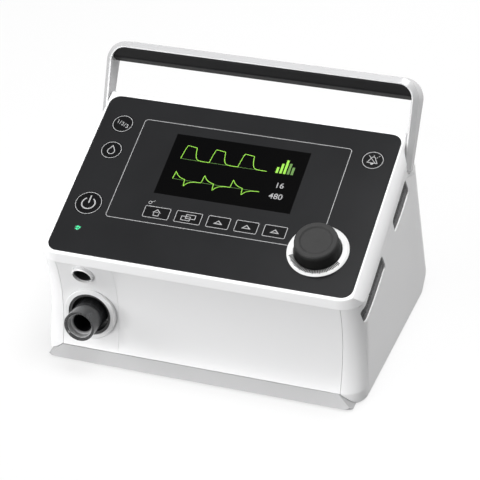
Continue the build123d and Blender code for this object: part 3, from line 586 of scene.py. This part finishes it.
def drawn_outline(points, width):
    """Closed line of even width round a polygon, in millimetres, the width lying inside it."""
    deselect()
    bpy.ops.mesh.primitive_circle_add(vertices=len(points), radius=1, fill_type="NGON")
    piece = bpy.context.object
    for vertex, point in zip(piece.data.vertices, points):
        vertex.co = (*point, 0)
    bpy.ops.object.mode_set(mode="EDIT")
    bpy.ops.mesh.select_all(action="SELECT")
    bpy.ops.mesh.normals_make_consistent(inside=False)
    bpy.ops.mesh.inset(thickness=width, use_even_offset=True)
    bpy.ops.mesh.delete(type="FACE")
    bpy.ops.object.mode_set(mode="OBJECT")
    return piece


def drawn_ring(radius, width, steps=96):
    """Closed circle line whose outer edge has this radius."""
    return drawn_outline(arc(radius, 0, 360, steps)[:-1], width)


def drawn_bar(start, end, width):
    """Straight stroke between two points, in millimetres."""
    piece = unit_square()
    along = Vector(end) - Vector(start)
    middle = (Vector(start) + Vector(end)) / 2
    place = Matrix.Translation((*middle, 0)) @ Matrix.Rotation(atan2(along.y, along.x), 4, "Z")
    piece.data.transform(place @ Matrix.Diagonal((along.length, width, 1, 1)))
    return piece


def drawn_arc(centre, radius, start, sweep, width, steps=48):
    """Part of a ring as a flat strip, angles in degrees."""
    piece = unit_square()
    piece.data.transform(Matrix.Translation((radius, 0, 0)) @ Matrix.Diagonal((width, 0.0, 1, 1)))
    bpy.ops.object.mode_set(mode="EDIT")
    bpy.ops.mesh.select_all(action="SELECT")
    bpy.ops.mesh.remove_doubles(threshold=0.0001)
    bpy.ops.mesh.select_all(action="SELECT")
    bpy.ops.mesh.spin(steps=steps, angle=-radians(sweep), center=(0, 0, 0), axis=(0, 0, 1))
    bpy.ops.object.mode_set(mode="OBJECT")
    piece.data.transform(Matrix.Translation((*centre, 0)) @ Matrix.Rotation(radians(start), 4, "Z"))
    return piece


def drawn_strip(points, width):
    """Flat strip of even width along a row of points."""
    deselect()
    bpy.ops.mesh.primitive_grid_add(x_subdivisions=len(points) - 1, y_subdivisions=1, size=1)
    piece = bpy.context.object
    path = [Vector(point) for point in points]
    last = len(path) - 1
    for vertex in piece.data.vertices:
        i = round((vertex.co.x + 0.5) * last)
        along = (path[min(i + 1, last)] - path[max(i - 1, 0)]).normalized()
        aside = Vector((-along.y, along.x)) * width * vertex.co.y
        vertex.co = (*(path[i] + aside), 0)
    return piece


def drawn_text(body, size):
    """Plain numbers as a flat mesh, centred."""
    deselect()
    bpy.ops.object.text_add()
    piece = bpy.context.object
    piece.data.body = body
    piece.data.size = size
    piece.data.align_x = "CENTER"
    piece.data.align_y = "CENTER"
    piece.data.resolution_u = 6
    piece.data.offset = 0.012 * size  # a little bolder than the plain font
    bpy.ops.object.convert(target="MESH")
    return bpy.context.object


def joined(pieces):
    """Several flat strokes as one object."""
    deselect()
    for piece in pieces:
        piece.select_set(True)
    bpy.context.view_layer.objects.active = pieces[0]
    bpy.ops.object.join()
    return bpy.context.object


def laid(piece, name, at, finish, body="housing", lift=PRINT_LIFT, thick=PRINT_THICK):
    """Gives a flat print its thickness, lays it on the panel and lets it ride on a body."""
    piece.name = piece.data.name = name
    deselect()
    piece.select_set(True)
    bpy.context.view_layer.objects.active = piece
    bpy.ops.object.mode_set(mode="EDIT")
    bpy.ops.mesh.select_all(action="SELECT")
    bpy.ops.mesh.normals_make_consistent(inside=False)
    bpy.ops.object.mode_set(mode="OBJECT")
    solidify = piece.modifiers.new("thickness", "SOLIDIFY")
    solidify.thickness = thick
    solidify.offset = 0
    bpy.ops.object.modifier_apply(modifier=solidify.name)
    piece.data.transform(PANEL @ Matrix.Translation((*at, lift + thick / 2)))
    give_finish(piece, finish)
    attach(piece, body)


# Signs


def steps_sign():
    """Figures 1, 2 and 3 stepping down, with strokes between them."""
    figure_size = 4.6
    first = Vector((-3.8, 1.7, 0))
    step = Vector((1.9, -0.85, 0))
    figures = []
    for i, figure in enumerate("1/2/3"):
        glyph = drawn_text(figure, figure_size)
        glyph.data.transform(Matrix.Translation(first + i * step))
        figures.append(glyph)
    return joined(figures)


def droplet():
    """Pointed drop: round below, two straight flanks to the tip."""
    tip = 5.4
    radius = 2.9
    flank = 32.0  # degrees over level at which the flanks leave the round
    sink = 0.9  # down, so that it sits in the middle of its key
    drop_line = 0.62
    drop = [(0, tip), *arc(radius, 180 - flank, 180 + 2 * flank, 24)]
    return drawn_outline(shifted(drop, 0, -sink), drop_line)


def power_sign():
    """Open ring with a bar in its gap."""
    bold_line = 0.95
    ring = drawn_arc((0, -0.2), 4.7, 122, 296, bold_line)
    return joined([ring, drawn_bar((0, 0.1), (0, 6.6), bold_line)])


def bell_sign():
    """Bell with a line across it and two dashes at its upper right."""
    dome = arc(1.9, 180, -180, 12, centre=(0, 1.2))
    clapper = [(-1.2, -2.7), (1.2, -2.7), (0.5, -3.9), (-0.5, -3.9)]
    clapper_line = 0.55
    strokes = [
        drawn_outline([(-4.0, -2.6), *dome, (4.0, -2.6)], SIGN_LINE),
        drawn_outline(clapper, clapper_line),
        drawn_bar((0, 3.0), (0, 4.4), SIGN_LINE),
        drawn_bar((-3.5, 3.8), (2.1, -2.2), LINE),
        drawn_bar((2.1, 2.2), (2.8, 2.9), FINE_LINE),
        drawn_bar((3.4, 3.5), (4.2, 4.3), FINE_LINE),
    ]
    return joined(strokes)


def home_sign():
    """House outline with its roof proud of the walls."""
    walls = [(-2.1, -0.2), (-2.1, -2.9), (2.1, -2.9), (2.1, -0.2)]
    roof = [(3.1, -0.2), (0, 2.9), (-3.1, -0.2)]
    return joined([drawn_outline(walls + roof, SIGN_LINE), drawn_bar((-1.2, 0.3), (1.2, 0.3), LINE)])


def windows_sign():
    """Two overlapping windows."""
    back = shifted(rounded(3.6, 1.9, 0.4, 3), 1.5, 0.8)
    front = shifted(rounded(3.4, 1.9, 0.4, 3), -1.7, -0.9)
    return joined([drawn_outline(back, SIGN_LINE), drawn_outline(front, SIGN_LINE)])


def up_sign():
    """Flat triangle pointing up."""
    triangle_line = 0.6
    return drawn_outline([(-3.3, -1.5), (3.3, -1.5), (0, 1.8)], triangle_line)


def lock_sign():
    """Small key: bow, shank and bit."""
    bow_line = 0.42
    bow = drawn_arc((-0.8, -0.4), 1.1, 0, 360, bow_line, 24)
    shank = drawn_bar((0.2, 0.2), (2.4, 1.5), FINE_LINE)
    bit = drawn_bar((1.6, 1.1), (2.0, 0.4), FINE_LINE)
    return joined([bow, shank, bit])


def plug_sign():
    """Mains plug: half-round body with two prongs and a tail."""
    half_height = 1.6
    depth = 1.5
    shoulder = -0.5
    front = [(x * depth / half_height, y) for x, y in arc(half_height, 90, -180, 12)]
    strokes = [
        drawn_outline([(shoulder, half_height), *front, (shoulder, -half_height)], LINE),
        drawn_bar((-1.6, 0.8), (shoulder, 0.8), FINE_LINE),
        drawn_bar((-1.6, -0.8), (shoulder, -0.8), FINE_LINE),
        drawn_bar((1.4, 0.3), (2.1, 1.2), FINE_LINE),
    ]
    return joined(strokes)


ROUND_SIGNS = [steps_sign, droplet, power_sign, bell_sign]
SOFT_SIGNS = [home_sign, windows_sign, up_sign, up_sign, up_sign]


def key_prints():
    """Line round each key's face and the sign on it."""
    for node, sign in zip(ROUND_KEYS, ROUND_SIGNS):
        u, v, half = key_face(node)
        body = NODES[node]["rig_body"]
        laid(drawn_ring(half - KEY_LINE_INSET, LINE), f"{node}_ring", (u, v), "ink", body)
        laid(sign(), f"{node}_sign", (u, v), "ink", body)
    for node, sign in zip(SOFT_KEYS, SOFT_SIGNS):
        u, v, half = key_face(node)
        body = NODES[node]["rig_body"]
        outline = drawn_outline(rounded(half, SOFT_KEY_HALF_V, SOFT_KEY_CORNER), LINE)
        laid(outline, f"{node}_line", (u, v), "ink", body)
        laid(sign(), f"{node}_sign", (u, v), "ink", body)


def frame_line():
    """Line round display and soft keys, open where it would meet the dial's ring."""
    dial_u, dial_v = panel_uv("dial_ring")
    stop_u = dial_u - (FRAME_TO_DIAL**2 - (FRAME_LOW_V - dial_v) ** 2) ** 0.5
    stop_v = dial_v + (FRAME_TO_DIAL**2 - (FRAME_HALF_U - dial_u) ** 2) ** 0.5
    inner_u = FRAME_HALF_U - FRAME_CORNER
    low = FRAME_LOW_V + FRAME_CORNER
    high = FRAME_HIGH_V - FRAME_CORNER
    strokes = [
        drawn_bar((-FRAME_HALF_U, low), (-FRAME_HALF_U, high), LINE),
        drawn_bar((-inner_u, FRAME_HIGH_V), (inner_u, FRAME_HIGH_V), LINE),
        drawn_bar((FRAME_HALF_U, high), (FRAME_HALF_U, stop_v), LINE),
        drawn_bar((-inner_u, FRAME_LOW_V), (stop_u, FRAME_LOW_V), LINE),
    ]
    for centre, start in (((-inner_u, low), 180), ((-inner_u, high), 90), ((inner_u, high), 0)):
        strokes.append(drawn_arc(centre, FRAME_CORNER, start, 90, LINE, 8))
    laid(joined(strokes), "glass_frame_line", (0, 0), "ink")


# Display


def screen_face():
    """Black display window seen in the glass."""
    piece = unit_square()
    piece.data.transform(Matrix.Diagonal((2 * SCREEN_HALF_U, SCREEN_HIGH_V - SCREEN_LOW_V, 1, 1)))
    middle = (0, (SCREEN_LOW_V + SCREEN_HIGH_V) / 2)
    laid(piece, "display_window", middle, "screen", lift=0.0, thick=SCREEN_THICK)


def breath_pressure(phase):
    """Pressure over one breath: quick rise, plateau, quick fall."""
    if phase < RISEN:
        return sin(pi / 2 * phase / RISEN)
    if phase < BREATH_IN:
        return 1 - PLATEAU_LOSS * (phase - RISEN) / (BREATH_IN - RISEN)
    return (1 - PLATEAU_LOSS) * exp(-16 * (phase - BREATH_IN))


def breath_flow(phase):
    """Flow over one breath: up on the way in, down on the way out."""
    if phase < BREATH_IN:
        return exp(-6 * phase) * min(1.0, phase / VALVE_TIME)
    breathing_out = phase - BREATH_IN
    return -FLOW_BACK * exp(-8 * breathing_out) * min(1.0, breathing_out / VALVE_TIME)


def curve(formula, height):
    """Line of a few breaths, from a formula of one breath's phase and the height it reaches."""
    points = []
    for i in range(CURVE_STEPS + 1):
        phase = BREATHS * i / CURVE_STEPS % 1.0
        points.append((CURVES_LEFT + CURVES_LENGTH * i / CURVE_STEPS, height * formula(phase)))
    return drawn_strip(points, CURVE_LINE)


def screen_picture():
    """Generic picture on the display: two breathing curves, bars and readings."""
    pressure = curve(breath_pressure, PRESSURE_HEIGHT)
    laid(pressure, "graph_pressure", (0, PRESSURE_V), "trace", lift=SCREEN_PRINT_LIFT)
    flow = curve(breath_flow, FLOW_HEIGHT)
    laid(flow, "graph_flow", (0, FLOW_V), "trace", lift=SCREEN_PRINT_LIFT)
    for i, v in enumerate((PRESSURE_V, FLOW_V)):
        axis = drawn_bar((CURVES_LEFT, 0), (CURVES_LEFT + CURVES_LENGTH, 0), AXIS_LINE)
        laid(axis, f"graph_axis_{i + 1}", (0, v), "trace_dim", lift=AXIS_LIFT)
    for i, height in enumerate(BAR_HEIGHTS):
        bar = drawn_bar((0, 0), (0, height), BAR_WIDTH)
        at = (BARS_LEFT + BAR_STEP * i, PRESSURE_V)
        ink = "trace" if i < BRIGHT_BARS else "trace_dim"
        laid(bar, f"graph_bar_{i + 1}", at, ink, lift=SCREEN_PRINT_LIFT)
    for name, (reading, v) in READINGS.items():
        figures = drawn_text(reading, READING_SIZE)
        laid(figures, f"reading_{name}", (READING_U, v), "ink", lift=SCREEN_PRINT_LIFT)


# Dial


def dial_scale():
    """Close ticks on the ring in front of the knob, every fourth one longer."""
    strokes = []
    for i in range(TICKS):
        angle = radians(TICK_START + i * TICK_STEP)
        along = Vector((cos(angle), sin(angle)))
        outer = TICK_OUTER if i % LONG_TICK_EVERY else LONG_TICK_OUTER
        strokes.append(drawn_bar(along * TICK_INNER, along * outer, TICK_WIDTH))
    laid(joined(strokes), "dial_scale_ticks", panel_uv("dial_ring"), "ink_dark", lift=SCALE_LIFT)


# Studio

# Lamps: place, point that it is aimed at, size, watts and beam in degrees
LAMPS = {
    "top_softbox": ((0.28, 0.15, 1.95), (0, -0.02, 0.08), (0.8, 0.8), 34.5, 180),
    "right_top_softbox": ((0.95, -0.1, 1.5), (0.05, 0, 0.08), (0.8, 0.8), 4.5, 180),
    "front_softbox": ((-0.75, -1.7, 0.3), (0, -0.03, 0.07), (1.3, 0.5), 23.5, 180),
    "key_lamp": ((-0.82, -1.1, 1.05), (0, -0.05, 0.07), (0.16, 0.16), 3.6, 180),
    "left_lamp": ((-1.3, -0.35, 0.5), (-0.1, -0.05, 0.07), (0.6, 0.6), 3.6, 120),
    "side_lamp": ((0.75, -0.62, 0.42), (0.115, -0.07, 0.085), (0.3, 0.3), 0.14, 50),
    "rear_softbox": ((0.5, 1.7, 0.8), (0, 0.05, 0.07), (1.0, 0.8), 14, 180),
    "glass_sheen": ((-0.3, 0.02, 1.6), (-0.1, -0.2, 0.1), (0.9, 0.5), 1.5, 180),
}
UNMIRRORED = ["right_top_softbox", "left_lamp", "rear_softbox"]  # lamps that no gloss mirrors

# Background tones: each for rays that only light the object, and for rays that show the background
FLOOR_TONE = (0.12, 0.34)
SURROUNDINGS_TONE = (0.08, 1.0)
FLOOR_GLOW = 1.5
FLOOR_GLOW_SHARE = 0.5  # the rest of what shows of the floor is lit, and takes the shadow
FLOOR_SIDE = 16


def camera():
    """Camera of the photograph."""
    azimuth, elevation, roll = (radians(a) for a in (CAMERA_AZIMUTH, CAMERA_ELEVATION, CAMERA_ROLL))
    back = Vector((sin(azimuth) * cos(elevation), -cos(azimuth) * cos(elevation), sin(elevation)))
    level = Vector((cos(azimuth), sin(azimuth), 0))
    upright = back.cross(level)
    right = level * cos(roll) + upright * sin(roll)
    up = upright * cos(roll) - level * sin(roll)
    data = bpy.data.cameras.new("photo_camera")
    data.lens = CAMERA_LENS
    data.sensor_width = CAMERA_SENSOR
    place = Matrix((right, up, back)).transposed().to_4x4()
    place.translation = Vector(CAMERA_LOOKS_AT) + CAMERA_DISTANCE * back
    eye = bpy.data.objects.new("photo_camera", data)
    eye.matrix_world = place
    bpy.context.scene.collection.objects.link(eye)
    bpy.context.scene.camera = eye


def background_seen(tree):
    """1 for rays that show the background: from the camera, or by way of gloss or clear plastic."""
    rays = tree.nodes.new("ShaderNodeLightPath")
    seen = rays.outputs["Is Camera Ray"]
    for kind in ("Is Glossy Ray", "Is Transmission Ray"):
        either = tree.nodes.new("ShaderNodeMath")
        either.operation = "MAXIMUM"
        wire(tree, seen, either.inputs[0])
        wire(tree, rays.outputs[kind], either.inputs[1])
        seen = either.outputs[0]
    return seen


def floor_white():
    """Floor that the camera sees as a white background with the object's shadow on it."""
    material, tree, shader = blank("studio_floor_white")
    seen = background_seen(tree)
    wire(tree, span(tree, seen, *FLOOR_TONE), shader.inputs["Base Color"])
    shader.inputs["Roughness"].default_value = 0.9
    shader.inputs["Specular IOR Level"].default_value = 0.0
    glow = tree.nodes.new("ShaderNodeEmission")
    glow.inputs["Strength"].default_value = FLOOR_GLOW
    mix = tree.nodes.new("ShaderNodeMixShader")
    wire(tree, span(tree, seen, 0.0, FLOOR_GLOW_SHARE), mix.inputs["Fac"])
    wire(tree, shader.outputs["BSDF"], mix.inputs[1])
    wire(tree, glow.outputs["Emission"], mix.inputs[2])
    wire(tree, mix.outputs["Shader"], tree.nodes["Material Output"].inputs["Surface"])
    return material


def floor():
    """Wide plain floor under the object."""
    deselect()
    bpy.ops.mesh.primitive_plane_add(size=FLOOR_SIDE)
    plane = bpy.context.object
    plane.name = "studio_floor"
    plane.data.materials.append(floor_white())


def surroundings():
    """Surroundings that are white to look at but light little."""
    world = bpy.data.worlds.new("studio_world")
    bpy.context.scene.world = world
    world.use_nodes = True
    tree = world.node_tree
    background = tree.nodes["Background"]
    background.inputs["Color"].default_value = (1, 1, 1, 1)
    strength = span(tree, background_seen(tree), *SURROUNDINGS_TONE)
    wire(tree, strength, background.inputs["Strength"])


def lamp(name, at, towards, size, power, beam):
    """Soft rectangular lamp aimed at a point."""
    data = bpy.data.lights.new(name, "AREA")
    data.shape = "RECTANGLE"
    data.size, data.size_y = size
    data.energy = power
    data.spread = radians(beam)
    piece = bpy.data.objects.new(name, data)
    piece.location = at
    piece.rotation_euler = (Vector(towards) - Vector(at)).to_track_quat("-Z", "Y").to_euler()
    piece.visible_glossy = name not in UNMIRRORED
    bpy.context.scene.collection.objects.link(piece)


camera()
dress_nodes()
key_prints()
frame_line()
laid(lock_sign(), "key_lock_sign", LOCK_AT, "ink")
screen_face()
screen_picture()
laid(plug_sign(), "mains_light_sign", panel_uv("mains_light"), "light", lift=0.0)
dial_scale()
floor()
surroundings()
for lamp_name, settings in LAMPS.items():
    lamp(lamp_name, *settings)
bpy.context.scene.view_settings.view_transform = "Standard"
